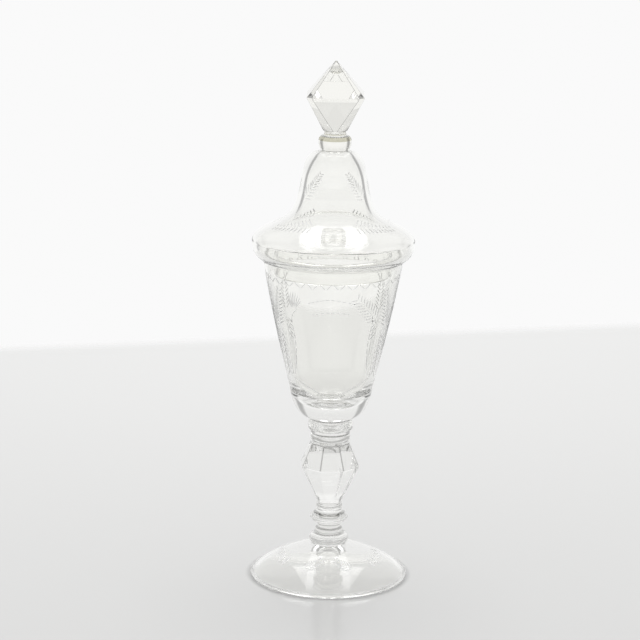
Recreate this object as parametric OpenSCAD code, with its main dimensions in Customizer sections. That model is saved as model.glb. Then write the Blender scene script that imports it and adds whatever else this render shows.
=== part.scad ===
// Covered glass goblet: a blown cup and foot on a stem of separate solid gathers,
// with a loose blown cover. Millimetres, +Z up, origin under the middle of the foot.
// Every piece stands on the one below it, so a changed height moves all that is above.

/* [Foot] */
// Radius of the foot
foot_r = 45.5; // [40:0.5:50]
// Height of the foot at the stem
foot_h = 19.0; // [16:0.5:22]
// Thickness of the rounded edge
foot_edge = 2.4; // [1.8:0.2:3.2]
// Glass thickness in the middle of the foot
foot_wall = 5.4; // [4:0.2:7]
// Width of the flat ring that the foot stands on
foot_ring_w = 2.4; // [1.6:0.2:3.6]

/* [Lower stem] */
// Radius of the cushion on the foot
foot_merese_r = 11.3; // [10:0.1:13]
// Height of the cushion on the foot
foot_merese_h = 6.3; // [5:0.1:8]
// Radius of the small ring above the cushion
lower_ring_r = 8.0; // [7.4:0.1:9]
// Height of the small ring above the cushion
lower_ring_h = 3.0; // [2:0.2:4]
// Radius of the disc-shaped knop
disc_r = 10.9; // [9.5:0.1:13]
// Height of the disc-shaped knop with its neck
disc_h = 9.4; // [8:0.1:11]
// Radius of the double ring under the baluster
neck_ring_r = 7.9; // [7.4:0.1:9]
// Height of the double ring under the baluster
neck_ring_h = 4.6; // [3.6:0.2:6]

/* [Baluster] */
// Half width of the baluster across two opposite facets
baluster_r = 16.5; // [14:0.1:19]
// Height of the baluster
baluster_h = 38.8; // [36:0.1:46]
// Height of its widest edge above its foot
baluster_girdle_h = 24.0; // [21:0.1:26]
// Radius of its round waist
baluster_waist_r = 7.4; // [7.2:0.1:8.4]
// Radius of its round neck
baluster_neck_r = 11.3; // [11:0.1:11.8]
// Turn of its facets from the front, in degrees
baluster_turn = 4.5; // [0:0.5:22]

/* [Upper stem] */
// Radius of the lower collar
collar_low_r = 11.5; // [11:0.1:13]
// Height of the lower collar
collar_low_h = 4.8; // [4:0.1:6]
// Radius of the upper collar
collar_up_r = 13.0; // [12:0.1:15]
// Height of the upper collar
collar_up_h = 8.4; // [7:0.1:10]

/* [Bowl] */
// Outer radius of the rim
rim_r = 39.7; // [38:0.1:44]
// Height of the bowl
bowl_h = 93.9; // [85:0.1:110]
// Outer radius where the round base runs into the wall
shoulder_r = 24.3; // [22:0.1:26]
// Height of that place above the bowl's foot
shoulder_h = 20.6; // [17:0.1:24]
// Glass thickness at the rim
bowl_wall = 2.2; // [1.8:0.1:2.6]
// Glass thickness of the solid base
bowl_base = 9.0; // [7:0.2:11]

/* [Cover] */
// Height of the cover from its seat to its collar
cover_h = 61.4; // [57:0.1:66]
// Radius of the bulging flange
flange_r = 46.2; // [44.5:0.1:50]
// Radius of the dome at its foot
dome_r = 20.6; // [18.5:0.1:23]
// Glass thickness of the cover
cover_wall = 3.0; // [2.4:0.1:3.4]
// Outer radius of the neck that hangs in the bowl
bezel_r = 33.6; // [31:0.1:34]
// Depth of the neck that hangs in the bowl
bezel_h = 9.0; // [6:0.2:12]

/* [Finial] */
// Radius of the collar under the finial
cover_merese_r = 9.3; // [8:0.1:11]
// Height of the collar under the finial
cover_merese_h = 8.6; // [7:0.1:10]
// Half width of the finial across two opposite faces
finial_r = 16.1; // [13:0.1:18]
// Height of the finial
finial_h = 42.1; // [38:0.1:48]
// Height of its widest edge above its foot
finial_girdle_h = 22.6; // [20:0.1:25]
// Width that the cut takes off each of its four corners
finial_corner = 2.0; // [1.2:0.1:3]
// Radius of its round neck
finial_neck_r = 6.2; // [6:0.1:6.6]

/* [Joints] */
// Radius of the hot joint between foot and cushion
joint_foot_r = 9.4; // [8.6:0.1:9.8]
// Radius of the hot joints in the lower stem
joint_stem_r = 7.0; // [6.6:0.1:7.2]
// Radius of the hot joint on the baluster
joint_baluster_r = 10.6; // [10:0.1:10.8]
// Radius of the hot joint under the bowl
joint_bowl_r = 11.2; // [10.6:0.1:11.6]
// Radius of the hot joint on the cover
joint_cover_r = 6.8; // [6.4:0.1:7.4]
// Radius of the hot joint under the finial
joint_finial_r = 6.6; // [6.2:0.1:7]

/* [Hidden] */
$fn = 96;
curve_steps = 10;
facets = 8;
lip = 0.5;
tip_r = 0.5;

// Heights of the joints, one piece on the other
z_foot_merese = foot_h;
z_lower_ring = z_foot_merese + foot_merese_h;
z_disc = z_lower_ring + lower_ring_h;
z_neck_rings = z_disc + disc_h;
z_baluster = z_neck_rings + neck_ring_h;
z_collar_low = z_baluster + baluster_h;
z_collar_up = z_collar_low + collar_low_h;
z_bowl = z_collar_up + collar_up_h;
z_seat = z_bowl + bowl_h;
z_cover_merese = z_seat + cover_h;
z_finial = z_cover_merese + cover_merese_h;

// Points of a cubic curve from a to d; b and c pull it
function curve(a, b, c, d, n = curve_steps) =
    [for (i = [0 : n])
        let (t = i / n, u = 1 - t)
        u * u * u * a + 3 * u * u * t * b + 3 * u * t * t * c + t * t * t * d];

// Points of a round bulge that leaves r0 at height 0, reaches r at height peak * h and ends on r1 at height h
function bulge(r0, r, r1, h, peak = 0.5, n = curve_steps) = concat(
    [for (i = [0 : n])
        let (t = 90 * i / n)
        [r0 + (r - r0) * sin(t), h * peak * (1 - cos(t))]],
    [for (i = [1 : n])
        let (t = 90 * i / n)
        [r1 + (r - r1) * cos(t), h * peak + h * (1 - peak) * sin(t)]]);

// The same points moved up
function raised(points, z) = [for (p = points) [p[0], p[1] + z]];

// The points without the first
function rest(points) = [for (i = [1 : len(points) - 1]) points[i]];

// The points from last to first
function backward(points) = [for (i = [len(points) - 1 : -1 : 0]) points[i]];

// The points of an outline moved by d to its left
function inset(points, d) =
    [for (i = [0 : len(points) - 1])
        let (a = points[max(i - 1, 0)],
             b = points[min(i + 1, len(points) - 1)],
             along = (b - a) / norm(b - a))
        points[i] + d * [-along[1], along[0]]];

// A solid turned from the points of its side, closed along the axis
module turned(side) {
    low = side[0];
    high = side[len(side) - 1];
    rotate_extrude()
        polygon(concat([[0, low[1]]], side, [[0, high[1]]]));
}

// An eight-sided solid; each level is [height, half width over the faces, half width over the corners]
module faceted(levels) {
    function ring(level) =
        let (a = level[1], b = level[2] * sqrt(2) - a)
        [[a, -b], [a, b], [b, a], [-b, a], [-a, b], [-a, -b], [-b, -a], [b, -a]];
    points = [for (level = levels) for (p = ring(level)) [p[0], p[1], level[0]]];
    last = (len(levels) - 1) * facets;
    sides = [for (k = [0 : len(levels) - 2])
        for (i = [0 : facets - 1])
            let (j = (i + 1) % facets)
            [k * facets + i, (k + 1) * facets + i, (k + 1) * facets + j, k * facets + j]];
    bottom = [for (i = [0 : facets - 1]) i];
    top = [for (i = [facets - 1 : -1 : 0]) last + i];
    polyhedron(points, concat([bottom], sides, [top]));
}

// Thin conical foot, hollow below, standing on a flat ring
module foot() {
    edge_r = foot_edge / 2;
    edge_x = foot_r - edge_r;
    ring_x = edge_x - foot_ring_w;
    hollow_h = foot_h - foot_wall;
    rise = foot_h - foot_edge;
    run = edge_x - joint_foot_r;
    edge = [for (t = [-90 : 15 : 90]) [edge_x + edge_r * cos(t), edge_r + edge_r * sin(t)]];
    upper = curve([edge_x, foot_edge], [edge_x - 0.3 * run, foot_edge + 0.5 * rise],
                  [joint_foot_r + 0.28 * run, foot_edge + 0.85 * rise], [joint_foot_r, foot_h]);
    under = curve([0, hollow_h], [0.43 * ring_x, hollow_h],
                  [0.78 * ring_x, 0.62 * hollow_h], [ring_x, 0]);
    color("lightcyan")
        rotate_extrude()
            polygon(concat(under, edge, rest(upper), [[0, foot_h]]));
}

// Solid cushion between foot and stem
module foot_merese() {
    color("paleturquoise")
        translate([0, 0, z_foot_merese])
            turned(bulge(joint_foot_r, foot_merese_r, joint_stem_r, foot_merese_h));
}

// Small solid ring on the cushion
module lower_ring() {
    color("lightblue")
        translate([0, 0, z_lower_ring])
            turned(bulge(joint_stem_r, lower_ring_r, joint_stem_r, lower_ring_h));
}

// Solid disc with its own short neck
module disc_knop() {
    neck_h = 0.4 * disc_h;
    blade_h = disc_h - neck_h;
    neck = curve([joint_stem_r, 0], [joint_stem_r - 0.5, neck_h * 0.4],
                 [joint_stem_r - 0.4, neck_h * 0.8], [joint_stem_r, neck_h]);
    color("paleturquoise")
        translate([0, 0, z_disc])
            turned(concat(neck, rest(raised(bulge(joint_stem_r, disc_r, joint_stem_r, blade_h, 0.55), neck_h))));
}

// Two thin rings under the baluster, trailed on in one thread
module neck_rings() {
    half_h = neck_ring_h / 2;
    groove_r = joint_stem_r + 0.2;
    lower = bulge(joint_stem_r, neck_ring_r, groove_r, half_h);
    upper = bulge(groove_r, neck_ring_r - 0.3, joint_stem_r, half_h);
    color("lightblue")
        translate([0, 0, z_neck_rings])
            turned(concat(lower, rest(raised(upper, half_h))));
}

// Baluster cut into eight facets above and below its widest edge; they run out into a round waist and neck
module baluster() {
    waist_h = 0.05 * baluster_h;
    cut_low_h = 0.165 * baluster_h;
    cut_top_h = 0.965 * baluster_h;
    cut_low_r = baluster_waist_r + 1;
    cut_top_r = baluster_neck_r - 0.5;
    clear_r = baluster_r * 1.15;
    blank = concat(
        curve([joint_stem_r, 0], [joint_stem_r + 0.2, 0.5 * waist_h],
              [baluster_waist_r, 0.6 * waist_h], [baluster_waist_r, waist_h]),
        [[cut_low_r * 1.15, cut_low_h],
         [clear_r, 0.8 * baluster_girdle_h],
         [clear_r, 0.5 * (baluster_girdle_h + cut_top_h)],
         [cut_top_r * 1.12, cut_top_h - 0.01 * baluster_h],
         [baluster_neck_r, 0.985 * baluster_h],
         [joint_baluster_r, baluster_h]]);
    color("azure")
        translate([0, 0, z_baluster])
            intersection() {
                turned(blank);
                rotate([0, 0, baluster_turn])
                    faceted([for (p = [[0, cut_low_r + 1.2], [waist_h, cut_low_r - 0.5], [cut_low_h, cut_low_r],
                                       [baluster_girdle_h, baluster_r], [cut_top_h, cut_top_r],
                                       [baluster_h, cut_top_r + 1]])
                        [p[0], p[1], p[1]]]);
            }
}

// Lower, narrower collar on the baluster
module collar_lower() {
    color("lightblue")
        translate([0, 0, z_collar_low])
            turned(bulge(joint_baluster_r, collar_low_r, joint_baluster_r, collar_low_h));
}

// Upper collar under the bowl
module collar_upper() {
    color("paleturquoise")
        translate([0, 0, z_collar_up])
            turned(bulge(joint_baluster_r, collar_up_r, joint_bowl_r, collar_up_h));
}

// Blown bowl: thick round base, tapered wall, flat fire-polished rim
module bowl() {
    wall_h = bowl_h - shoulder_h;
    low_flare = 0.25;
    top_flare = 0.15;
    third = wall_h / 3;
    in_r = rim_r - bowl_wall;
    in_shoulder = [shoulder_r - 1.3 * bowl_wall, shoulder_h + 0.5 * bowl_base];
    base = curve([joint_bowl_r, 0], [joint_bowl_r + 0.66 * (shoulder_r - joint_bowl_r), 0.19 * shoulder_h],
                 [shoulder_r - low_flare * 0.35 * shoulder_h, 0.56 * shoulder_h], [shoulder_r, shoulder_h]);
    wall = curve([shoulder_r, shoulder_h], [shoulder_r + low_flare * third, shoulder_h + third],
                 [rim_r - top_flare * third, bowl_h - third], [rim_r, bowl_h - lip]);
    in_wall = curve([in_r, bowl_h - lip], [in_r - top_flare * third, bowl_h - third],
                    in_shoulder + [low_flare, 1] * third, in_shoulder);
    in_base = curve(in_shoulder, in_shoulder - [low_flare, 1] * 0.34 * shoulder_h,
                    [0.72 * in_shoulder[0], bowl_base], [0, bowl_base]);
    color("aliceblue")
        translate([0, 0, z_bowl])
            rotate_extrude()
                polygon(concat([[0, 0]], base, rest(wall), [[rim_r - lip, bowl_h], [in_r + lip, bowl_h]],
                               in_wall, rest(in_base)));
}

// Blown cover: neck, bulging flange and dome in one skin, seated on the rim with a flat step
module cover() {
    seat_r = rim_r + 0.4;
    bulge_h = 0.155 * cover_h;
    hip = [0.65 * flange_r, 0.352 * cover_h];
    waist = [dome_r, 0.577 * cover_h];
    crown = [0.855 * dome_r, 0.828 * cover_h];
    crown_h = cover_h - crown[1];
    hip_run = flange_r - hip[0];
    skin = concat(
        curve([seat_r, 0], [seat_r + 0.6 * (flange_r - seat_r), 0.03 * bulge_h],
              [flange_r, 0.42 * bulge_h], [flange_r, bulge_h]),
        rest(curve([flange_r, bulge_h], [flange_r, bulge_h + 0.08 * cover_h],
                   hip + [0.5, -0.26] * hip_run, hip)),
        rest(curve(hip, hip + [-0.34, 0.18] * hip_run, waist + [0.06, -0.28] * dome_r, waist)),
        rest(curve(waist, waist + [-0.05, 0.24] * dome_r, crown + [0.04, -0.22] * dome_r, crown)),
        rest(curve(crown, crown + [-0.12, 0.63] * crown_h,
                   [0.54 * crown[0] + 0.54 * joint_cover_r, cover_h], [joint_cover_r, cover_h])));
    inner = inset(skin, cover_wall);
    bezel_in = bezel_r - 0.75 * cover_wall;
    throat = curve([bezel_in, 0], [bezel_in, 0.7 * cover_wall],
                   [bezel_in + 0.4 * cover_wall, cover_wall], [bezel_in + 1.2 * cover_wall, cover_wall]);
    color("aliceblue")
        translate([0, 0, z_seat])
            rotate_extrude()
                polygon(concat([[bezel_in + lip, -bezel_h], [bezel_r - lip, -bezel_h], [bezel_r, lip - bezel_h],
                                [bezel_r, 0]],
                               skin, [[0, cover_h], [0, cover_h - cover_wall]], backward(inner),
                               backward(throat), [[bezel_in, lip - bezel_h]]));
}

// Solid collar on the cover
module cover_merese() {
    color("khaki")
        translate([0, 0, z_cover_merese])
            turned(bulge(joint_cover_r, cover_merese_r, joint_finial_r, cover_merese_h, 0.66));
}

// Cut finial: a square point above and below, its corners cut off, on a round neck
module finial() {
    neck_h = 0.06 * finial_h;
    tip_h = finial_h - tip_r;
    girdle_corner = finial_r * sqrt(2) - finial_corner;
    tip_corner = tip_r * 1.05;
    neck_edge = finial_neck_r + 0.5;
    neck_corner = finial_neck_r - 0.8;
    blank = [[joint_finial_r, 0], [finial_neck_r, 0.6 * neck_h], [finial_neck_r, neck_h],
             [girdle_corner + 4, 0.5 * finial_girdle_h], [girdle_corner + 4, 0.7 * finial_h], [2, finial_h]];
    color("ivory")
        translate([0, 0, z_finial])
            intersection() {
                turned(blank);
                faceted([[0, neck_edge + 1, neck_edge + 1],
                         [neck_h, neck_edge, neck_corner],
                         [finial_girdle_h, finial_r, girdle_corner],
                         [tip_h, tip_r, tip_corner]]);
            }
}

foot();
foot_merese();
lower_ring();
disc_knop();
neck_rings();
baluster();
collar_lower();
collar_upper();
bowl();
cover();
cover_merese();
finial();
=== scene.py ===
"""Covered glass goblet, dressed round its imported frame.

Each gather of glass is turned, cut or engraved as its own piece. Where two gathers are fused, both
end faces carry a clear joint material, so light passes from one into the other as in one glass.
"""

import math

import bpy
from mathutils import Matrix, Vector


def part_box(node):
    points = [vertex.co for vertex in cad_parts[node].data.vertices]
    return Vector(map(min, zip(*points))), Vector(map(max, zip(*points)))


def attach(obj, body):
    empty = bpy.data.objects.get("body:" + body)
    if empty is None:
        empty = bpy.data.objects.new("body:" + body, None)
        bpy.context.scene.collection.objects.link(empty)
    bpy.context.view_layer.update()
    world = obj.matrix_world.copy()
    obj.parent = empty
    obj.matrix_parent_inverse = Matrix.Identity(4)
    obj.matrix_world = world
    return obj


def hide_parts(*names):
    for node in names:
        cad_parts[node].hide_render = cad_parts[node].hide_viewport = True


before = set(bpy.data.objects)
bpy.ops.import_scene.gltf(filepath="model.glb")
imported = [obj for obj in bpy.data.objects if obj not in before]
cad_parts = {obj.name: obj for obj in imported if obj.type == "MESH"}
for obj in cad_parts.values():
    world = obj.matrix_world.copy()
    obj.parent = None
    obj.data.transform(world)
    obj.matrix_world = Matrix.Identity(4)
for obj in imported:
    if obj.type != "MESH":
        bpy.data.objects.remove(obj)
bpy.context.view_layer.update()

bl_info = {
    "name": "Covered Goblet",
    "version": (1, 0, 0),
    "blender": (4, 5, 0),
    "location": "3D View > Sidebar > Goblet",
    "description": "Builds a covered glass goblet round its packed frame",
    "category": "Object",
}

MM = 0.001
CURVE_STEPS = 14
FACETS = 8
SMOOTH_ANGLE = math.radians(24)

# The photograph's camera, fitted to the ellipses of foot, rim and cover neck
IMAGE_SIDE = 640
CAMERA_DISTANCE = 1.300
CAMERA_HEIGHT = 0.464
CAMERA_FOCUS = 2346
CAMERA_PITCH = math.radians(13.51)
CAMERA_ROLL = math.radians(0.85)
AXIS_OFFSET = 12.5

# The table's back edge: its distance, its fading and its turn from square
TABLE_BACK = 0.577
TABLE_FRONT = -0.27
TABLE_FADE = 0.035
TABLE_TURN = math.radians(-12.5)
TABLE_GLOSS = 0.14

# The table's colour, darker towards the front as painted light falloff, from one place in depth to another
# (m), and its shade where the foot stands
PAINTED_FALLOFF_NEAR, PAINTED_FALLOFF_FAR = (0.582, 0.582, 0.577), (0.615, 0.615, 0.61)
PAINTED_FALLOFF_NEAR_Y, PAINTED_FALLOFF_FAR_Y = -0.3, 0.5
CONTACT_SHADE = 0.62

# White of the backdrop in the picture and of the panels seen through the glass
BACKDROP_WHITE = 0.955
PANEL_WHITE = 0.95

# Softboxes: place across and in depth, width, depth (m) and power (W)
SOFTBOX_HEIGHT = 1.25
SOFTBOXES = ((-0.24, 0.85, 0.32, 1.9, 5.0), (0, 0.3, 0.24, 0.8, 0.8), (0.24, 0.85, 0.32, 1.9, 5.0))

# Light passes many walls of glass before it reaches the backdrop
GLASS_BOUNCES = 32
JOINT_BOUNCES = 64

# Radii of the hot joints, in millimetres
JOINT_FOOT = 9.4
JOINT_STEM = 7.0
JOINT_BALUSTER = 10.6
JOINT_BOWL = 11.2
JOINT_COVER = 6.8
JOINT_FINIAL = 6.6

# Width of the engraved lines and depth of lines and leaves, in millimetres
ZIGZAG_WIDTH = 0.6
SCROLL_WIDTH = 0.55
LINE_DEPTH = 0.22
LEAF_DEPTH = 0.25


class NodeSize:
    """Radius and heights of a turned CAD node, in millimetres."""

    def __init__(self, node):
        low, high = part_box(node)
        self.r = high.x / MM
        self.z0 = low.z / MM
        self.z1 = high.z / MM
        self.h = self.z1 - self.z0


def curve(a, b, c, d, steps=CURVE_STEPS):
    """Points of a cubic curve from a to d; b and c pull it."""
    points = []
    for i in range(steps + 1):
        t = i / steps
        u = 1 - t
        weights = (u * u * u, 3 * u * u * t, 3 * u * t * t, t * t * t)
        points.append(tuple(sum(w * p[k] for w, p in zip(weights, (a, b, c, d))) for k in (0, 1)))
    return points


def bulge(r0, r, r1, z0, h, peak=0.5):
    """Points of a round bulge that leaves r0 at z0, reaches r and ends on r1 at z0 + h."""
    low, high = [], []
    for i in range(CURVE_STEPS + 1):
        t = math.pi / 2 * i / CURVE_STEPS
        low.append((r0 + (r - r0) * math.sin(t), z0 + h * peak * (1 - math.cos(t))))
        high.append((r1 + (r - r1) * math.cos(t), z0 + h * peak + h * (1 - peak) * math.sin(t)))
    return low + high[1:]


def inset(points, distance):
    """The outline's points moved to its left."""
    moved = []
    for i, (r, z) in enumerate(points):
        a = points[max(i - 1, 0)]
        b = points[min(i + 1, len(points) - 1)]
        along = Vector((b[0] - a[0], b[1] - a[1])).normalized()
        moved.append((r - distance * along.y, z + distance * along.x))
    return moved


def arc(cx, cz, radius, start, end, steps):
    """Points of a round arc; angles in degrees."""
    angles = [math.radians(start + (end - start) * i / steps) for i in range(steps + 1)]
    return [(cx + radius * math.cos(a), cz + radius * math.sin(a)) for a in angles]


def foot_outline(settings):
    """Outline of the foot from under its middle, out over the edge and up to the stem."""
    s = NodeSize("foot")
    edge, ring_w, wall = 2.4, 2.4, settings.foot_wall / MM
    edge_x = s.r - edge / 2
    ring_x = edge_x - ring_w
    hollow = s.h - wall
    rise, run = s.h - edge, edge_x - JOINT_FOOT
    under = curve((0, hollow), (0.2 * ring_x, hollow), (0.72 * ring_x, 0.72 * hollow), (ring_x, 0), 28)
    upper = curve((edge_x, edge), (edge_x - 0.3 * run, edge + 0.5 * rise),
                  (JOINT_FOOT + 0.28 * run, edge + 0.85 * rise), (JOINT_FOOT, s.h), 28)
    return under, arc(edge_x, edge / 2, edge / 2, -90, 90, 10) + upper[1:]


def bowl_outline(settings):
    """Outer and inner outline of the bowl, both from the base up to the rim."""
    s = NodeSize("bowl")
    wall_t, base_t, shoulder_r, shoulder_h = settings.bowl_wall / MM, 9.0, 24.3, 20.6
    low_flare, top_flare = 0.25, 0.15
    lip = wall_t / 2
    third = (s.h - shoulder_h) / 3
    in_r = s.r - wall_t
    in_r0, in_z0 = shoulder_r - 1.3 * wall_t, shoulder_h + 0.5 * base_t
    base = curve((JOINT_BOWL, 0), (JOINT_BOWL + 0.8 * (shoulder_r - JOINT_BOWL), 0.145 * shoulder_h),
                 (shoulder_r - low_flare * 0.35 * shoulder_h, 0.56 * shoulder_h),
                 (shoulder_r, shoulder_h), 24)
    wall = curve((shoulder_r, shoulder_h), (shoulder_r + low_flare * third, shoulder_h + third),
                 (s.r - top_flare * third, s.h - third), (s.r, s.h - lip), 48)
    in_base = curve((0, base_t), (0.72 * in_r0, base_t),
                    (in_r0 - low_flare * 0.34 * shoulder_h, in_z0 - 0.34 * shoulder_h), (in_r0, in_z0), 24)
    in_wall = curve((in_r0, in_z0), (in_r0 + low_flare * third, in_z0 + third),
                    (in_r - top_flare * third, s.h - third), (in_r, s.h - lip), 40)
    outer = base + wall[1:]
    inner = in_base + in_wall[1:]
    rim = arc(s.r - lip, s.h - lip, lip, 0, 180, 12)
    return raised(outer, s.z0), raised(rim, s.z0), raised(inner, s.z0)


def cover_outline(settings):
    """The cover's neck, outer skin and inner skin."""
    s = NodeSize("cover")
    wall = settings.cover_wall / MM
    bezel_h, thin, bezel_r, dome_r, lip = 9.0, 1.1, 33.6, 20.6, 0.6
    seat_z = s.z0 + bezel_h
    h = s.z1 - seat_z
    seat_r = NodeSize("bowl").r + 0.4
    bulge_h = 0.155 * h
    hip = (0.65 * s.r, 0.352 * h)
    waist = (dome_r, 0.577 * h)
    crown = (0.855 * dome_r, 0.828 * h)
    crown_h = h - crown[1]
    run = s.r - hip[0]
    skin = curve((seat_r, 0), (seat_r + 0.6 * (s.r - seat_r), 0.03 * bulge_h),
                 (s.r, 0.42 * bulge_h), (s.r, bulge_h))
    skin += curve((s.r, bulge_h), (s.r, bulge_h + 0.08 * h),
                  (hip[0] + 0.5 * run, hip[1] - 0.26 * run), hip, 22)[1:]
    skin += curve(hip, (hip[0] - 0.34 * run, hip[1] + 0.18 * run),
                  (waist[0] + 0.06 * dome_r, waist[1] - 0.28 * dome_r), waist, 22)[1:]
    skin += curve(waist, (waist[0] - 0.05 * dome_r, waist[1] + 0.24 * dome_r),
                  (crown[0] + 0.04 * dome_r, crown[1] - 0.22 * dome_r), crown)[1:]
    skin += curve(crown, (crown[0] - 0.12 * crown_h, crown[1] + 0.63 * crown_h),
                  (0.54 * (crown[0] + JOINT_COVER), h), (JOINT_COVER, h), 18)[1:]
    inner = [(r - 0.7 * (z / waist[1]) ** 2, z) for r, z in inset(skin, wall) if z < waist[1]]
    inner += curve(inner[-1], (0.73 * dome_r, 0.745 * h), (0.73 * dome_r, h - thin), (0, h - thin), 24)[1:]
    bezel_in = bezel_r - 0.75 * wall
    throat = curve((bezel_in, 0), (bezel_in, 0.7 * wall),
                   (bezel_in + 0.4 * wall, wall), (bezel_in + 1.2 * wall, wall), 8)
    neck = arc(bezel_r - 0.375 * wall, 0.375 * wall - bezel_h, 0.375 * wall, 180, 360, 12)
    neck += [(bezel_r, z) for z in (-0.7 * bezel_h, -0.4 * bezel_h, -lip)]
    neck += arc(bezel_r + lip, -lip, lip, 180, 90, 6)
    return raised(neck, seat_z), raised(skin, seat_z), raised(throat + inner, seat_z)


def raised(points, z):
    """The points moved up."""
    return [(r, height + z) for r, height in points]


class Surface:
    """The outer side of a turned piece, asked by height: radius, and the slope of its outline."""

    def __init__(self, outline):
        self.outline = outline

    def at(self, z, turn):
        """Point, sideways, upward and outward directions and radius (mm) at height z (mm) and a turn.

        The turn is in radians from the front.
        """
        for (r0, z0), (r1, z1) in zip(self.outline, self.outline[1:]):
            if min(z0, z1) <= z <= max(z0, z1) and z1 != z0:
                r = r0 + (r1 - r0) * (z - z0) / (z1 - z0)
                slope = Vector((r1 - r0, z1 - z0)).normalized()
                break
        else:
            raise ValueError(f"the outline has no height {z}")
        if slope.y < 0:
            slope = -slope
        radial = Vector((math.sin(turn), -math.cos(turn), 0))
        sideways = Vector((math.cos(turn), math.sin(turn), 0))
        upward = radial * slope.x + Vector((0, 0, slope.y))
        outward = radial * slope.y - Vector((0, 0, slope.x))
        return radial * r * MM + Vector((0, 0, z * MM)), sideways, upward, outward, r


def new_line(name, points):
    """A new object at the origin, in edit mode: the points (radius, height in mm) as one line of edges."""
    bpy.ops.object.select_all(action="DESELECT")
    bpy.ops.mesh.primitive_plane_add(size=MM)
    piece = bpy.context.object
    piece.name = piece.data.name = name
    bpy.ops.object.mode_set(mode="EDIT")
    bpy.ops.mesh.merge(type="CENTER")
    here = Vector((0, 0))
    for i, point in enumerate(points):
        there = Vector(point) * MM
        step = (there.x - here.x, 0, there.y - here.y)
        if i == 0:
            bpy.ops.transform.translate(value=step)
        else:
            bpy.ops.mesh.extrude_vertices_move(TRANSFORM_OT_translate={"value": step})
        here = there
    return piece


def turned(name, points, segments, glass="Polished glass"):
    """A closed piece spun from its outline; the outline starts and ends on the axis or on itself."""
    piece = new_line(name, points)
    piece.data.materials.append(bpy.data.materials[glass])
    bpy.ops.mesh.select_all(action="SELECT")
    bpy.ops.mesh.spin(steps=segments, angle=2 * math.pi, center=(0, 0, 0), axis=(0, 0, 1))
    bpy.ops.mesh.select_all(action="SELECT")
    bpy.ops.mesh.remove_doubles(threshold=0.001 * MM)
    bpy.ops.mesh.normals_make_consistent(inside=False)
    bpy.ops.object.mode_set(mode="OBJECT")
    return piece


def facet_body(sides, turn, levels, glass="Polished glass"):
    """A new closed body with flat sides, the first facing the turn; levels are (height, half width) in mm."""
    grow = 1 / math.cos(math.pi / sides)
    bpy.ops.object.select_all(action="DESELECT")
    bpy.ops.mesh.primitive_circle_add(vertices=sides, radius=levels[0][1] * grow * MM, fill_type="NGON")
    body = bpy.context.object
    body.data.materials.append(bpy.data.materials[glass])
    # The second material is painted shade: dark glass for the rounded arrises
    body.data.materials.append(bpy.data.materials["Painted shade glass"])
    bpy.ops.object.mode_set(mode="EDIT")
    bpy.ops.mesh.select_all(action="SELECT")
    bpy.ops.transform.rotate(value=-turn - math.pi / sides, orient_axis="Z", center_override=(0, 0, 0))
    bpy.ops.transform.translate(value=(0, 0, levels[0][0] * MM))
    for (z0, a0), (z1, a1) in zip(levels, levels[1:]):
        bpy.ops.mesh.extrude_region_move(TRANSFORM_OT_translate={"value": (0, 0, (z1 - z0) * MM)})
        bpy.ops.transform.resize(value=(a1 / a0, a1 / a0, 1), center_override=(0, 0, 0))
    bpy.ops.mesh.select_all(action="SELECT")
    bpy.ops.mesh.normals_make_consistent(inside=False)
    bpy.ops.object.mode_set(mode="OBJECT")
    return body


def round_arrises(body, arris):
    """Rounds the edges of a faceted body by the arris width (m)."""
    edges = body.modifiers.new("Arrises", "BEVEL")
    edges.limit_method = "ANGLE"
    edges.angle_limit = SMOOTH_ANGLE
    edges.width = arris
    edges.segments = 3
    # The rounded arrises take the painted shade glass, dark lines that stand in for shade
    edges.material = 1
    bpy.ops.object.modifier_apply(modifier=edges.name)


def cut_with(piece, body, operation):
    """Applies a Boolean of the piece with the body, and removes the body."""
    bpy.ops.object.select_all(action="DESELECT")
    piece.select_set(True)
    bpy.context.view_layer.objects.active = piece
    cut = piece.modifiers.new("Cut", "BOOLEAN")
    cut.operation = operation
    cut.solver = "MANIFOLD"
    cut.material_mode = "TRANSFER"
    cut.object = body
    bpy.ops.object.modifier_apply(modifier=cut.name)
    bpy.data.objects.remove(body)


def finish_glass(piece, body, nodes, joint_heights, facets=False, groove=0):
    """Smooth shading, materials, and the piece's place in the frame.

    Faces at a joint's height (mm) are fused, and the glass within the groove's height (mm) of it is darkened
    with painted shade.
    """
    bpy.ops.object.select_all(action="DESELECT")
    piece.select_set(True)
    bpy.context.view_layer.objects.active = piece
    bpy.ops.object.mode_set(mode="EDIT")
    bpy.ops.mesh.select_all(action="SELECT")
    bpy.ops.mesh.dissolve_degenerate(threshold=0.0005 * MM)
    bpy.ops.object.mode_set(mode="OBJECT")
    bpy.ops.object.shade_smooth_by_angle(angle=SMOOTH_ANGLE, keep_sharp_edges=True)
    if facets:
        flat = piece.modifiers.new("Flat facets", "WEIGHTED_NORMAL")
        flat.weight = 100
        flat.keep_sharp = True
        bpy.ops.object.modifier_apply(modifier=flat.name)
    materials = piece.data.materials
    materials.append(bpy.data.materials["Fused joint"])
    # Painted shade: dark glass in the grooves beside the joints
    materials.append(bpy.data.materials["Painted shade glass"])
    painted_shade_slot = len(materials) - 1
    for face in piece.data.polygons:
        away = min(abs(face.center.z / MM - z) for z in joint_heights)
        if away < 0.001 and abs(face.normal.z) > 0.999:
            face.material_index = painted_shade_slot - 1
        elif away < groove:
            face.material_index = painted_shade_slot
    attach(piece, body)
    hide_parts(*nodes)


def tint_band(piece, name, low, high):
    """Gives the faces between two heights (mm) another material."""
    piece.data.materials.append(bpy.data.materials[name])
    for face in piece.data.polygons:
        if low < face.center.z / MM < high:
            face.material_index = len(piece.data.materials) - 1


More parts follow.
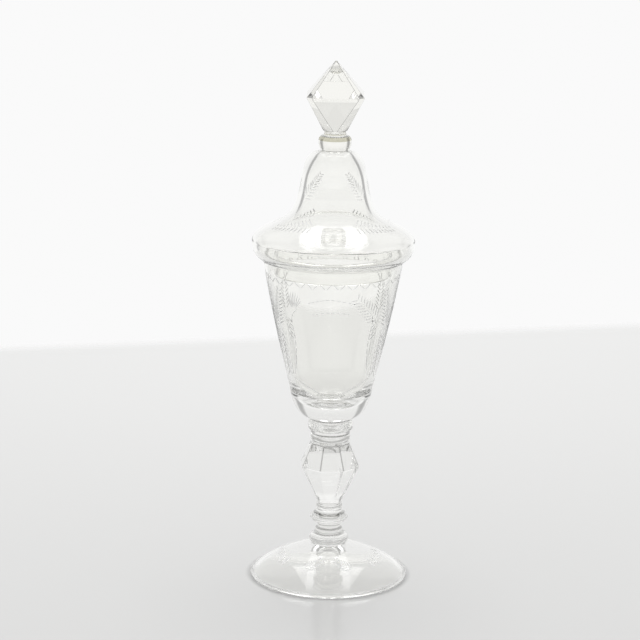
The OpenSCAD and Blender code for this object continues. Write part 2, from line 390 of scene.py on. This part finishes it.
def engrave(piece, strokes, settings):
    """Cuts wheel strokes into a piece. A stroke is (point, along, outward, length mm, width mm, depth mm)."""
    bpy.ops.object.select_all(action="DESELECT")
    bpy.ops.mesh.primitive_plane_add(size=MM)
    wheel = bpy.context.object
    bpy.ops.object.mode_set(mode="EDIT")
    bpy.ops.mesh.delete(type="VERT")
    for point, along, outward, length, width, depth in strokes:
        across = outward.cross(along)
        turn = Matrix((along, across, outward)).transposed().to_euler()
        bpy.ops.mesh.primitive_uv_sphere_add(
            segments=settings.stroke_sides, ring_count=settings.stroke_sides // 2, radius=1.0,
            location=point, rotation=turn,
            scale=(length * MM / 2, width * MM / 2, depth * MM))
    bpy.ops.object.mode_set(mode="OBJECT")
    wheel.data.materials.append(bpy.data.materials["Matt engraving"])
    cut_with(piece, wheel, "DIFFERENCE")


def stroke(surface, z, turn, angle, length, width, depth=LEAF_DEPTH):
    """One wheel stroke on a surface; angle is from sideways towards up."""
    point, sideways, upward, outward, _ = surface.at(z, turn)
    along = (sideways * math.cos(angle) + upward * math.sin(angle)).normalized()
    return point, along, outward, length, width, depth


def line_of_strokes(surface, path, width):
    """Strokes end to end along a path of (turn, height mm) points."""
    strokes = []
    for (t0, z0), (t1, z1) in zip(path, path[1:]):
        t, z = (t0 + t1) / 2, (z0 + z1) / 2
        _, _, upward, _, r = surface.at(z, t)
        across, up = (t1 - t0) * r, (z1 - z0) / upward.z
        angle = math.atan2(up, across)
        strokes.append(stroke(surface, z, t, angle, 0.94 * math.hypot(across, up), width, LINE_DEPTH))
    return strokes


def spray(surface, root, tip, leaves, leaf, width, sides=(1, -1), lean=50):
    """The leaves of a fern spray from root to tip, both (turn in degrees, height mm), beside a bare stem.

    A leaf's length and width are in mm, and it leans from the stem by the lean, in degrees.
    """
    strokes = []
    turns = [math.radians(root[0] + (tip[0] - root[0]) * i / leaves) for i in range(leaves + 1)]
    heights = [root[1] + (tip[1] - root[1]) * i / leaves for i in range(leaves + 1)]
    for i in range(leaves):
        turn, z = turns[i], heights[i]
        _, _, upward, _, r = surface.at(z, turn)
        heading = math.atan2((heights[i + 1] - z) / upward.z, (turns[i + 1] - turn) * r)
        size = leaf * (1.05 - 0.6 * i / leaves)
        for side in sides:
            angle = heading + side * math.radians(lean)
            reach = 0.6 * size
            there = z + reach * math.sin(angle) * upward.z
            strokes.append(stroke(surface, there, turn + reach * math.cos(angle) / r, angle, size, width))
    return strokes


def fan(surface, root, heading, spread, leaves, leaf, width):
    """A fan of long leaves from a root (turn in degrees, height mm); heading and spread in degrees."""
    strokes = []
    turn, z = math.radians(root[0]), root[1]
    _, _, upward, _, r = surface.at(z, turn)
    for i in range(leaves):
        angle = math.radians(heading + spread * (i / (leaves - 1) - 0.5))
        size = leaf * (0.8 + 0.2 * math.sin(math.pi * i / (leaves - 1)))
        reach = 0.75 * size
        there = z + reach * math.sin(angle) * upward.z
        strokes.append(stroke(surface, there, turn + reach * math.cos(angle) / r, angle, size, width))
    return strokes


def scroll(surface, *points, steps):
    """A smooth engraved line through (turn in degrees, height mm) points, as strokes end to end."""
    path = []
    ends = [points[0], *points, points[-1]]
    for a, b, c, d in zip(ends, ends[1:], ends[2:], ends[3:]):
        for i in range(steps):
            t = i / steps
            path.append(tuple(0.5 * (2 * b[k] + (c[k] - a[k]) * t
                                     + (2 * a[k] - 5 * b[k] + 4 * c[k] - d[k]) * t * t
                                     + (3 * b[k] - a[k] - 3 * c[k] + d[k]) * t ** 3) for k in (0, 1)))
    path.append(points[-1])
    return line_of_strokes(surface, [(math.radians(turn), z) for turn, z in path], SCROLL_WIDTH)


def mirrored(points):
    """The same places on the other side of the front."""
    return [(-turn, z) for turn, z in points]


def turned_by(points, turn):
    """The places moved round the axis by a turn in degrees."""
    return [(t + turn, z) for t, z in points]


class GobletSettings(bpy.types.PropertyGroup):
    """What the goblet's pieces share."""

    segments: bpy.props.IntProperty(
        name="Segments", description="Steps of each turned piece round its axis",
        default=192, min=48, max=288)
    foot_wall: bpy.props.FloatProperty(
        name="Foot wall", description="Thickness of the foot in its middle",
        default=5.4 * MM, min=2 * MM, max=9 * MM, unit="LENGTH", precision=4)
    bowl_wall: bpy.props.FloatProperty(
        name="Bowl wall", description="Thickness of the bowl's wall",
        default=2.2 * MM, min=1 * MM, max=3 * MM, unit="LENGTH", precision=4)
    cover_wall: bpy.props.FloatProperty(
        name="Cover wall", description="Thickness of the cover's flange",
        default=3.0 * MM, min=1.5 * MM, max=4 * MM, unit="LENGTH", precision=4)
    baluster_arris: bpy.props.FloatProperty(
        name="Baluster arris", description="Width of the rounding between the baluster's facets",
        default=0.45 * MM, min=0.1 * MM, max=1 * MM, unit="LENGTH", precision=5)
    finial_arris: bpy.props.FloatProperty(
        name="Finial arris", description="Width of the rounding between the finial's facets",
        default=0.6 * MM, min=0.1 * MM, max=1 * MM, unit="LENGTH", precision=5)
    ior: bpy.props.FloatProperty(
        name="Refraction", description="Index of refraction of the glass", default=1.5, min=1.3, max=1.8)
    tint: bpy.props.FloatVectorProperty(
        name="Tint", description="Colour of light after the clear glass", subtype="COLOR",
        default=(0.985, 0.985, 0.968), min=0, max=1)
    warm_tint: bpy.props.FloatVectorProperty(
        name="Warm tint", description="Colour of light after the cover's solid pieces", subtype="COLOR",
        default=(0.975, 0.97, 0.93), min=0, max=1)
    # Painted shade: the dark tint of the arrises and of the joints' grooves
    painted_shade_tint: bpy.props.FloatVectorProperty(
        name="Painted shade tint", description="Colour of light after the arrises and the grooves", subtype="COLOR",
        default=(0.34, 0.34, 0.33), min=0, max=1)
    # The glass's olive colour, darkened with painted shade of the groove under the finial
    olive_and_shade_tint: bpy.props.FloatVectorProperty(
        name="Olive and shade tint", description="Colour of light after the band under the finial", subtype="COLOR",
        default=(0.42, 0.4, 0.27), min=0, max=1)
    stroke_sides: bpy.props.IntProperty(
        name="Stroke sides", description="Sides of the wheel that cuts a stroke", default=10, min=6, max=24)
    light: bpy.props.FloatProperty(
        name="Light", description="Strength of the even studio light", default=1.0, min=0)
    dark: bpy.props.FloatProperty(
        name="Dark panels", description="Brightness of the panels that draw the glass's edges",
        default=0.38, min=0, max=1)


class GOBLET_OT_materials(bpy.types.Operator):
    """Make the glass, engraving and joint materials"""

    bl_idname = "goblet.materials"
    bl_label = "Materials"

    def execute(self, context):
        settings = context.scene.goblet
        self.glass("Polished glass", settings.tint, settings.ior)
        self.glass("Warm glass", settings.warm_tint, settings.ior)
        # Painted shade: dark glass that draws the arrises and the grooves at the joints
        self.glass("Painted shade glass", settings.painted_shade_tint, settings.ior)
        # Olive colour of the glass with painted shade of the groove
        self.glass("Olive shaded glass", settings.olive_and_shade_tint, settings.ior)
        self.matt("Matt engraving", settings.ior)
        self.joint("Fused joint")
        return {"FINISHED"}

    def glass(self, name, tint, ior):
        """Clear glass with the slow waves of hand work."""
        nodes, links, shader = self.new(name)
        shader.inputs["Base Color"].default_value = (*tint, 1)
        shader.inputs["Transmission Weight"].default_value = 1
        shader.inputs["IOR"].default_value = ior
        shader.inputs["Roughness"].default_value = 0
        place = nodes.new("ShaderNodeTexCoord")
        waves = nodes.new("ShaderNodeTexNoise")
        waves.inputs["Scale"].default_value = 55
        waves.inputs["Detail"].default_value = 1
        bump = nodes.new("ShaderNodeBump")
        bump.inputs["Strength"].default_value = 0.05
        bump.inputs["Distance"].default_value = 1.0 * MM
        links.new(place.outputs["Object"], waves.inputs["Vector"])
        links.new(waves.outputs["Fac"], bump.inputs["Height"])
        links.new(bump.outputs["Normal"], shader.inputs["Normal"])

    def matt(self, name, ior):
        """Ground glass of the wheel strokes, with the wheel's fine grain."""
        nodes, links, shader = self.new(name)
        shader.inputs["Base Color"].default_value = (0.92, 0.92, 0.91, 1)
        shader.inputs["Transmission Weight"].default_value = 0.52
        shader.inputs["IOR"].default_value = ior
        place = nodes.new("ShaderNodeTexCoord")
        grain = nodes.new("ShaderNodeTexNoise")
        grain.inputs["Scale"].default_value = 2200
        rough = nodes.new("ShaderNodeMapRange")
        rough.inputs["To Min"].default_value = 0.32
        rough.inputs["To Max"].default_value = 0.55
        links.new(place.outputs["Object"], grain.inputs["Vector"])
        links.new(grain.outputs["Fac"], rough.inputs["Value"])
        links.new(rough.outputs["Result"], shader.inputs["Roughness"])

    def joint(self, name):
        """The face where two gathers are fused: light passes as if it weren't there."""
        nodes, links, shader = self.new(name)
        shader.inputs["Alpha"].default_value = 0

    def new(self, name):
        """Nodes, links and shader of a new material."""
        material = bpy.data.materials.new(name)
        material.use_nodes = True
        nodes, links = material.node_tree.nodes, material.node_tree.links
        return nodes, links, nodes["Principled BSDF"]


class GOBLET_OT_foot(bpy.types.Operator):
    """Turn the foot and engrave its sprays"""

    bl_idname = "goblet.foot"
    bl_label = "Foot"

    def execute(self, context):
        settings = context.scene.goblet
        size = NodeSize("foot")
        under, upper = foot_outline(settings)
        piece = turned("foot_glass", under + upper + [(0, size.h)], settings.segments)
        surface = Surface(upper)
        strokes = []
        for side in (1, -1):
            for half in (0, 180):
                strokes += spray(surface, (half + side * 28, 11.6), (half + side * 8, 15.4), 6, 4.8, 0.95)
            strokes += spray(surface, (side * 58, 9.8), (side * 122, 11.2), 6, 8, 2.2, sides=(side,), lean=76)
        engrave(piece, strokes, settings)
        finish_glass(piece, "goblet", ["foot"], [size.h])
        # Daylight through the thin foot falls on the table as if the foot weren't there
        piece.visible_shadow = piece.visible_diffuse = False
        return {"FINISHED"}


class GOBLET_OT_lower_stem(bpy.types.Operator):
    """Turn the cushion, ring, disc and double ring between foot and baluster"""

    bl_idname = "goblet.lower_stem"
    bl_label = "Lower stem"

    def execute(self, context):
        segments = context.scene.goblet.segments
        self.gather("foot_merese", JOINT_FOOT, JOINT_STEM, segments)
        self.gather("lower_ring", JOINT_STEM, JOINT_STEM, segments)
        disc = NodeSize("disc_knop")
        neck_h = 0.4 * disc.h
        neck = curve((JOINT_STEM, 0), (JOINT_STEM - 0.5, 0.4 * neck_h),
                     (JOINT_STEM - 0.4, 0.8 * neck_h), (JOINT_STEM, neck_h), 8)
        blade = bulge(JOINT_STEM, disc.r, JOINT_STEM, disc.z0 + neck_h, disc.h - neck_h, 0.55)
        self.turn("disc_knop", raised(neck, disc.z0) + blade[1:], disc, segments)
        rings = NodeSize("neck_rings")
        half, groove = rings.h / 2, JOINT_STEM + 0.2
        thread = bulge(JOINT_STEM, rings.r, groove, rings.z0, half)
        thread += bulge(groove, rings.r - 0.3, JOINT_STEM, rings.z0 + half, half)[1:]
        self.turn("neck_rings", thread, rings, segments)
        return {"FINISHED"}

    def gather(self, node, r0, r1, segments):
        """A plain round gather between two joints."""
        size = NodeSize(node)
        self.turn(node, bulge(r0, size.r, r1, size.z0, size.h), size, segments)

    def turn(self, node, side, size, segments):
        """A solid gather from the outline of its side."""
        piece = turned(node + "_glass", [(0, size.z0)] + side + [(0, size.z1)], segments)
        finish_glass(piece, "goblet", [node], [size.z0, size.z1], groove=0.35)


class GOBLET_OT_baluster(bpy.types.Operator):
    """Turn the baluster's blank and grind its sixteen facets"""

    bl_idname = "goblet.baluster"
    bl_label = "Baluster"

    def execute(self, context):
        settings = context.scene.goblet
        size = NodeSize("baluster")
        turn = math.radians(4.5)
        h, r = size.h, size.r * math.cos(math.pi / FACETS) / math.cos(math.pi / FACETS - turn)
        girdle, waist_r, neck_r = 24.0 / 38.8 * h, 7.4, 11.3
        waist_h, low_h, top_h = 0.05 * h, 0.165 * h, 0.965 * h
        low_r, top_r, clear = waist_r + 1, neck_r - 0.5, 1.15 * r
        side = curve((JOINT_STEM, 0), (JOINT_STEM + 0.2, 0.5 * waist_h),
                     (waist_r, 0.6 * waist_h), (waist_r, waist_h), 8)
        side += curve((waist_r, waist_h), (waist_r, waist_h + 1.5), (1.05 * low_r, low_h),
                      (1.4 * low_r, low_h + 3), 10)[1:]
        side += [(clear, 0.8 * girdle), (clear, 0.5 * (girdle + top_h))]
        side += [(1.2 * top_r, top_h - 0.03 * h), (1.12 * top_r, top_h - 0.01 * h), (neck_r, 0.985 * h)]
        side += [(JOINT_BALUSTER, h)]
        outline = [(0, size.z0)] + raised(side, size.z0) + [(0, size.z1)]
        piece = turned("baluster_glass", outline, settings.segments)
        lower = curve((low_r - 0.5, waist_h), (low_r - 0.4, 0.12 * h),
                      (low_r, 0.16 * h), (low_r + 1.3, 0.237 * h), 8)
        levels = [(-1, low_r + 1.2)] + [(z, a) for a, z in lower]
        levels += [(girdle, r), (top_h, top_r), (h + 1, top_r + 1)]
        body = facet_body(FACETS, turn, [(size.z0 + z, a) for z, a in levels])
        round_arrises(body, settings.baluster_arris)
        # Only the arrises above the girdle carry the painted shade
        tint_band(body, "Polished glass", size.z0, size.z0 + girdle + 0.5)
        cut_with(piece, body, "INTERSECT")
        finish_glass(piece, "goblet", ["baluster"], [size.z0, size.z1], facets=True)
        return {"FINISHED"}


class GOBLET_OT_collars(bpy.types.Operator):
    """Turn the two collars between baluster and bowl"""

    bl_idname = "goblet.collars"
    bl_label = "Collars"

    def execute(self, context):
        segments = context.scene.goblet.segments
        for node, top in (("collar_lower", JOINT_BALUSTER), ("collar_upper", JOINT_BOWL)):
            size = NodeSize(node)
            side = bulge(JOINT_BALUSTER, size.r, top, size.z0, size.h)
            piece = turned(node + "_glass", [(0, size.z0)] + side + [(0, size.z1)], segments)
            finish_glass(piece, "goblet", [node], [size.z0, size.z1], groove=0.45)
        return {"FINISHED"}


class GOBLET_OT_bowl(bpy.types.Operator):
    """Turn the bowl and engrave its rim, sprays and frame"""

    bl_idname = "goblet.bowl"
    bl_label = "Bowl"

    def execute(self, context):
        settings = context.scene.goblet
        size = NodeSize("bowl")
        outer, rim, inner = bowl_outline(settings)
        outline = [(0, size.z0)] + outer + rim[1:] + inner[::-1][1:]
        piece = turned("bowl_glass", outline, settings.segments)
        engrave(piece, self.strokes(Surface(outer)), settings)
        finish_glass(piece, "goblet", ["bowl"], [size.z0])
        return {"FINISHED"}

    def strokes(self, surface):
        """Zigzag under the rim, upright sprays front and back, and a leafy frame on the front."""
        teeth, low, high = 32, 177.4, 181.0
        zigzag = [(math.pi * i / teeth, low if i % 2 else high) for i in range(2 * teeth + 1)]
        strokes = line_of_strokes(surface, zigzag, ZIGZAG_WIDTH)
        # The frame's lines, as turns in degrees and heights in millimetres
        side_line = [(33, 165), (41, 159), (40, 146), (43, 133), (50, 124)]
        low_line = [(54, 122), (34, 118.5), (14, 114), (4, 112)]
        strokes += scroll(surface, (-22, 169), (-2, 171.8), (20.4, 169), steps=5)
        strokes += scroll(surface, (-18, 162.4), (-2, 164.2), (16, 163.2), steps=4)
        strokes += fan(surface, (-38, 163), 80, 60, 8, 10, 0.6)
        strokes += spray(surface, (46, 158), (20, 173), 9, 7, 0.6)
        for side, outer in ((mirrored, 1), (list, -1)):
            strokes += scroll(surface, *side(side_line), steps=3)
            strokes += scroll(surface, *side(low_line), steps=3)
            root, tip = side([(40, 146), (41, 159)])
            strokes += spray(surface, root, tip, 5, 4.0, 0.7, sides=(outer,))
            for half in (0, 180):
                root, tip = turned_by(side([(62, 153), (53, 175.5)]), half)
                strokes += spray(surface, root, tip, 10, 6, 0.8)
                root, tip = turned_by(side([(71, 120), (63, 148)]), half)
                strokes += spray(surface, root, tip, 8, 8, 0.7, lean=30)
        return strokes


class GOBLET_OT_cover(bpy.types.Operator):
    """Turn the cover and engrave its sprays"""

    bl_idname = "goblet.cover"
    bl_label = "Cover"

    def execute(self, context):
        settings = context.scene.goblet
        size = NodeSize("cover")
        neck, skin, inner = cover_outline(settings)
        outline = neck + skin + [(0, size.z1)] + inner[::-1] + [neck[0]]
        piece = turned("cover_glass", outline, settings.segments)
        # From the flange's widest place up, the skin has each height once
        engrave(piece, self.strokes(Surface(skin[CURVE_STEPS:])), settings)
        finish_glass(piece, "cover", ["cover"], [size.z1])
        return {"FINISHED"}

    def strokes(self, surface):
        """Sprays lying round the flange and standing on the dome."""
        strokes = []
        for half in (0, 180):
            for side in (mirrored, list):
                root, tip = turned_by(side([(25, 211), (74, 207.4)]), half)
                strokes += spray(surface, root, tip, 10, 5.6, 0.8, lean=66)
                root, tip = turned_by(side([(54, 224), (27, 237)]), half)
                strokes += spray(surface, root, tip, 7, 5, 0.8)
        return strokes


class GOBLET_OT_finial(bpy.types.Operator):
    """Turn the cover's collar and cut the finial"""

    bl_idname = "goblet.finial"
    bl_label = "Finial"

    def execute(self, context):
        settings = context.scene.goblet
        collar = NodeSize("cover_merese")
        side = bulge(JOINT_COVER, collar.r, JOINT_FINIAL, collar.z0, collar.h, 0.66)
        outline = [(0, collar.z0)] + side + [(0, collar.z1)]
        piece = turned("cover_merese_glass", outline, settings.segments, "Warm glass")
        finish_glass(piece, "cover", ["cover_merese"], [collar.z0, collar.z1], groove=0.45)
        # Olive band in the groove under the finial: the glass's olive colour with painted shade
        tint_band(piece, "Olive shaded glass", collar.z1 - 2.6, collar.z1 - 0.5)
        size = NodeSize("finial")
        h, r, tip_r, neck_r = size.h, size.r, 0.5, 6.2
        girdle, corner = 22.6 / 41.6 * h, 2.0
        neck_h = 0.06 * h
        edge = neck_r + 0.5
        corner_r = r * math.sqrt(2) - corner
        clear = corner_r + 4
        side = curve((JOINT_FINIAL, 0), (neck_r, 0.3 * neck_h), (neck_r, 0.6 * neck_h), (neck_r, neck_h), 6)
        side += [(clear, 0.5 * girdle), (clear, 0.7 * h), (2, h)]
        outline = [(0, size.z0)] + raised(side, size.z0) + [(0, size.z1)]
        piece = turned("finial_glass", outline, settings.segments, "Warm glass")
        faces = [(-1, edge + 1), (neck_h, edge), (girdle, r), (h, tip_r)]
        corners = [(-1, edge + 1), (neck_h, neck_r - 0.8), (girdle, corner_r), (h, tip_r)]
        body = facet_body(4, 0, [(size.z0 + z, a) for z, a in faces], "Warm glass")
        corner_body = facet_body(4, math.pi / 4, [(size.z0 + z, a) for z, a in corners], "Warm glass")
        cut_with(body, corner_body, "INTERSECT")
        round_arrises(body, settings.finial_arris)
        # The girdle's arrises carry no painted shade
        tint_band(body, "Warm glass", size.z0 + girdle - 0.5, size.z0 + girdle + 0.5)
        cut_with(piece, body, "INTERSECT")
        finish_glass(piece, "cover", ["finial"], [size.z0], facets=True)
        return {"FINISHED"}


class GOBLET_OT_stage(bpy.types.Operator):
    """Lay the floor and set the light and the camera"""

    bl_idname = "goblet.stage"
    bl_label = "Stage"

    def execute(self, context):
        self.floor()
        self.world(context.scene, context.scene.goblet)
        self.softbox()
        self.camera(context.scene)
        context.scene.view_settings.view_transform = "Standard"
        cycles = context.scene.cycles
        cycles.max_bounces = cycles.transmission_bounces = cycles.glossy_bounces = GLASS_BOUNCES
        cycles.transparent_max_bounces = JOINT_BOUNCES
        return {"FINISHED"}

    def floor(self):
        """A pale polished table; its back edge runs a little askew and fades into the white behind."""
        back, front, half = 1.2, -1.2, 2.6
        bpy.ops.object.select_all(action="DESELECT")
        bpy.ops.mesh.primitive_plane_add(size=1, location=(0, (back + front) / 2, -0.1 * MM))
        table = bpy.context.object
        table.name = "table"
        table.scale = (2 * half, back - front, 1)
        bpy.ops.object.transform_apply(location=True, rotation=True, scale=True)
        material = bpy.data.materials.new("Pale table")
        material.use_nodes = True
        nodes, links = material.node_tree.nodes, material.node_tree.links
        shader = nodes["Principled BSDF"]
        shader.inputs["Roughness"].default_value = TABLE_GLOSS
        place = nodes.new("ShaderNodeTexCoord")
        askew = nodes.new("ShaderNodeMapping")
        askew.inputs["Rotation"].default_value = (0, 0, TABLE_TURN)
        split = nodes.new("ShaderNodeSeparateXYZ")
        links.new(place.outputs["Object"], askew.inputs["Vector"])
        links.new(askew.outputs["Vector"], split.inputs["Vector"])
        depth = split.outputs["Y"]
        back_edge = self.panel(nodes, links, depth, TABLE_BACK - TABLE_FADE, TABLE_BACK, 1, 0)
        front_edge = self.panel(nodes, links, depth, TABLE_FRONT + TABLE_FADE, TABLE_FRONT, 1, 0)
        links.new(self.math(nodes, links, "MULTIPLY", back_edge, front_edge), shader.inputs["Alpha"])
        # Painted light falloff: the table's colour darkens towards the front
        painted_falloff = nodes.new("ShaderNodeMapRange")
        painted_falloff.data_type = "FLOAT_VECTOR"
        # The vector sockets: value, from, from, to, to
        links.new(depth, painted_falloff.inputs[6])
        painted_falloff.inputs[7].default_value = (PAINTED_FALLOFF_NEAR_Y,) * 3
        painted_falloff.inputs[8].default_value = (PAINTED_FALLOFF_FAR_Y,) * 3
        painted_falloff.inputs[9].default_value = PAINTED_FALLOFF_NEAR
        painted_falloff.inputs[10].default_value = PAINTED_FALLOFF_FAR
        shaded = nodes.new("ShaderNodeVectorMath")
        shaded.operation = "SCALE"
        links.new(painted_falloff.outputs["Vector"], shaded.inputs[0])
        links.new(self.contact(nodes, links, place.outputs["Object"]), shaded.inputs["Scale"])
        links.new(shaded.outputs["Vector"], shader.inputs["Base Color"])
        table.data.materials.append(material)

    def contact(self, nodes, links, place):
        """Shade of the table round the foot's edge, none under the clear foot."""
        foot_r = NodeSize("foot").r
        reach = nodes.new("ShaderNodeVectorMath")
        reach.operation = "LENGTH"
        links.new(place, reach.inputs[0])
        away = reach.outputs["Value"]
        ring = self.panel(nodes, links, away, (foot_r - 1) * MM, (foot_r + 3.5) * MM, CONTACT_SHADE, 1)
        under = self.math(nodes, links, "LESS_THAN", away, (foot_r - 1.5) * MM)
        return self.math(nodes, links, "MAXIMUM", ring, under)

    def world(self, scene, settings):
        """White to the camera, even light on the table, and dark panels that only the glass sees.

        They are upright strips behind the goblet, a ring overhead, and the dim room low behind the camera.
        """
        world = bpy.data.worlds.new("Studio")
        scene.world = world
        world.use_nodes = True
        nodes, links = world.node_tree.nodes, world.node_tree.links
        background = nodes["Background"]
        place = nodes.new("ShaderNodeTexCoord")
        split = nodes.new("ShaderNodeSeparateXYZ")
        links.new(place.outputs["Generated"], split.inputs["Vector"])
        bearing = self.math(nodes, links, "ARCTAN2", split.outputs["X"], split.outputs["Y"])
        lobes = self.math(nodes, links, "COSINE", self.math(nodes, links, "MULTIPLY", bearing, 4))
        depth, up = split.outputs["Y"], split.outputs["Z"]
        strips = self.panel(nodes, links, lobes, -1.0, -0.6, settings.dark)
        behind = self.panel(nodes, links, depth, 0.1, -0.1, 0)
        upright = self.math(nodes, links, "MAXIMUM", strips, behind)
        height = self.math(nodes, links, "ABSOLUTE", self.math(nodes, links, "SUBTRACT", up, 0.85))
        ring = self.panel(nodes, links, height, 0.06, 0.12, settings.dark)
        before = self.panel(nodes, links, depth, -0.5, -0.1, 0.12)
        low = self.panel(nodes, links, self.math(nodes, links, "ABSOLUTE", up), 0.09, 0.17, 0)
        room = self.math(nodes, links, "MAXIMUM", before, low)
        panels = self.panel(nodes, links, up, 0.35, -0.05, 0.82)
        for other in (upright, ring, room):
            panels = self.math(nodes, links, "MINIMUM", panels, other)
        path = nodes.new("ShaderNodeLightPath")
        level = nodes.new("ShaderNodeMix")
        level.data_type = "FLOAT"
        level.inputs["A"].default_value = settings.light
        links.new(path.outputs["Is Transmission Ray"], level.inputs["Factor"])
        links.new(panels, level.inputs["B"])
        white = nodes.new("ShaderNodeMix")
        white.data_type = "FLOAT"
        white.inputs["B"].default_value = BACKDROP_WHITE
        links.new(path.outputs["Is Camera Ray"], white.inputs["Factor"])
        links.new(level.outputs["Result"], white.inputs["A"])
        links.new(white.outputs["Result"], background.inputs["Strength"])
        background.inputs["Color"].default_value = (1, 1, 1, 1)

    def panel(self, nodes, links, value, dark_at, white_at, dark, white=PANEL_WHITE):
        """Brightness that goes softly from dark to white as the value goes from one number to another."""
        node = nodes.new("ShaderNodeMapRange")
        node.interpolation_type = "SMOOTHSTEP"
        node.inputs["From Min"].default_value = dark_at
        node.inputs["From Max"].default_value = white_at
        node.inputs["To Min"].default_value = dark
        node.inputs["To Max"].default_value = white
        links.new(value, node.inputs["Value"])
        return node.outputs["Result"]

    def math(self, nodes, links, operation, *values):
        """A Math node's output; each value is a number or an output."""
        node = nodes.new("ShaderNodeMath")
        node.operation = operation
        for socket, value in zip(node.inputs, values):
            if isinstance(value, (int, float)):
                socket.default_value = value
            else:
                links.new(value, socket)
        return node.outputs["Value"]

    def softbox(self):
        """Two soft lights overhead, a little behind, and a weak one between them; their edges fade."""
        for x, y, width, depth, energy in SOFTBOXES:
            light = bpy.data.lights.new("softbox", "AREA")
            light.shape = "RECTANGLE"
            light.size, light.size_y = width, depth
            light.energy = energy
            light.use_nodes = True
            nodes, links = light.node_tree.nodes, light.node_tree.links
            place = nodes.new("ShaderNodeNewGeometry")
            split = nodes.new("ShaderNodeSeparateXYZ")
            links.new(place.outputs["Parametric"], split.inputs["Vector"])
            edges = [self.math(nodes, links, "PINGPONG", split.outputs[axis], 0.5) for axis in ("X", "Y")]
            fades = [self.panel(nodes, links, edge, 0, 0.2, 0) for edge in edges]
            links.new(self.math(nodes, links, "MINIMUM", *fades), nodes["Emission"].inputs["Strength"])
            lamp = bpy.data.objects.new("softbox", light)
            lamp.location = (x, y, SOFTBOX_HEIGHT)
            lamp.visible_camera = False
            bpy.context.scene.collection.objects.link(lamp)

    def camera(self, scene):
        """The photograph's viewpoint: a slight yaw puts the axis where the photograph has it."""
        camera = bpy.data.objects.new("camera", bpy.data.cameras.new("camera"))
        camera.data.sensor_width = 36
        camera.data.lens = camera.data.sensor_width * CAMERA_FOCUS / IMAGE_SIDE
        yaw = math.atan(AXIS_OFFSET / CAMERA_FOCUS)
        aim = Matrix.Rotation(yaw, 3, "Z") @ Matrix.Rotation(math.pi / 2 - CAMERA_PITCH, 3, "X")
        aim = aim @ Matrix.Rotation(CAMERA_ROLL, 3, "Z")
        camera.rotation_euler = aim.to_euler()
        camera.location = (0, -CAMERA_DISTANCE, CAMERA_HEIGHT)
        scene.collection.objects.link(camera)
        scene.camera = camera


class GOBLET_PT_panel(bpy.types.Panel):
    """Sizes and steps of the goblet"""

    bl_idname = "GOBLET_PT_panel"
    bl_label = "Covered Goblet"
    bl_space_type = "VIEW_3D"
    bl_region_type = "UI"
    bl_category = "Goblet"

    def draw(self, context):
        settings = context.scene.goblet
        for name in GobletSettings.__annotations__:
            self.layout.prop(settings, name)
        for step in STEPS:
            self.layout.operator(step.bl_idname)


STEPS = (
    GOBLET_OT_materials,
    GOBLET_OT_foot,
    GOBLET_OT_lower_stem,
    GOBLET_OT_baluster,
    GOBLET_OT_collars,
    GOBLET_OT_bowl,
    GOBLET_OT_cover,
    GOBLET_OT_finial,
    GOBLET_OT_stage,
)
CLASSES = (GobletSettings, *STEPS, GOBLET_PT_panel)


def register():
    for cls in CLASSES:
        bpy.utils.register_class(cls)
    bpy.types.Scene.goblet = bpy.props.PointerProperty(type=GobletSettings)


def unregister():
    del bpy.types.Scene.goblet
    for cls in reversed(CLASSES):
        bpy.utils.unregister_class(cls)


def main():
    register()
    bpy.ops.goblet.materials()
    bpy.ops.goblet.foot()
    bpy.ops.goblet.lower_stem()
    bpy.ops.goblet.baluster()
    bpy.ops.goblet.collars()
    bpy.ops.goblet.bowl()
    bpy.ops.goblet.cover()
    bpy.ops.goblet.finial()
    bpy.ops.goblet.stage()


if __name__ == "__main__":
    main()
